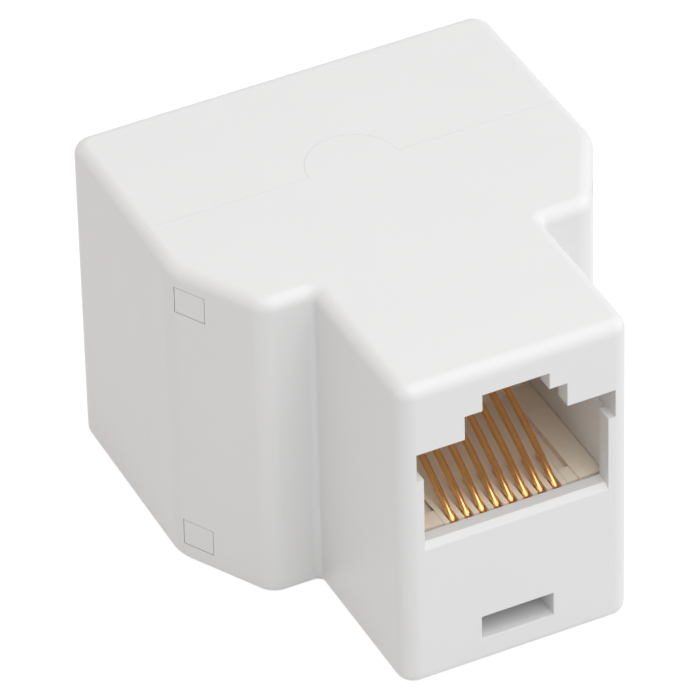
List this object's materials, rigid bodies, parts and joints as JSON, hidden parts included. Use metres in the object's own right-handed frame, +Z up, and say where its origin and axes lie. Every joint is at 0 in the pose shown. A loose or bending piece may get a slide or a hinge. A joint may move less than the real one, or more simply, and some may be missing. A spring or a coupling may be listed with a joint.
{
  "type": "ethernet splitter adapter",
  "caption": "White T-shaped network splitter: a modular socket on the stem branches to further sockets side by side on the wide back.",
  "frame": {"origin": "middle of the underside of the housing", "axes": "+X across the housing, +Y from the single socket towards the pair of sockets, +Z up, towards the key of the sockets"},
  "size_m": [0.0298, 0.0332, 0.0234],
  "materials": {
    "front_shell": "smooth satin moulding",
    "rear_shell": "smooth satin moulding",
    "contact_carrier": "plain moulding",
    "circuit_board": "solder mask",
    "contact": "gold plated"
  },
  "bodies": {
    "root": {"front_shell": "front_shell", "rear_shell": "rear_shell", "front_contact_carrier": "contact_carrier", "rear_left_contact_carrier": "contact_carrier", "rear_right_contact_carrier": "contact_carrier", "circuit_board": "circuit_board", "front_contact_1": "contact", "front_contact_2": "contact", "front_contact_3": "contact", "front_contact_4": "contact", "front_contact_5": "contact", "front_contact_6": "contact", "front_contact_7": "contact", "front_contact_8": "contact", "rear_left_contact_1": "contact", "rear_left_contact_2": "contact", "rear_left_contact_3": "contact", "rear_left_contact_4": "contact", "rear_left_contact_5": "contact", "rear_left_contact_6": "contact", "rear_left_contact_7": "contact", "rear_left_contact_8": "contact", "rear_right_contact_1": "contact", "rear_right_contact_2": "contact", "rear_right_contact_3": "contact", "rear_right_contact_4": "contact", "rear_right_contact_5": "contact", "rear_right_contact_6": "contact", "rear_right_contact_7": "contact", "rear_right_contact_8": "contact"}
  },
  "joints": []
}
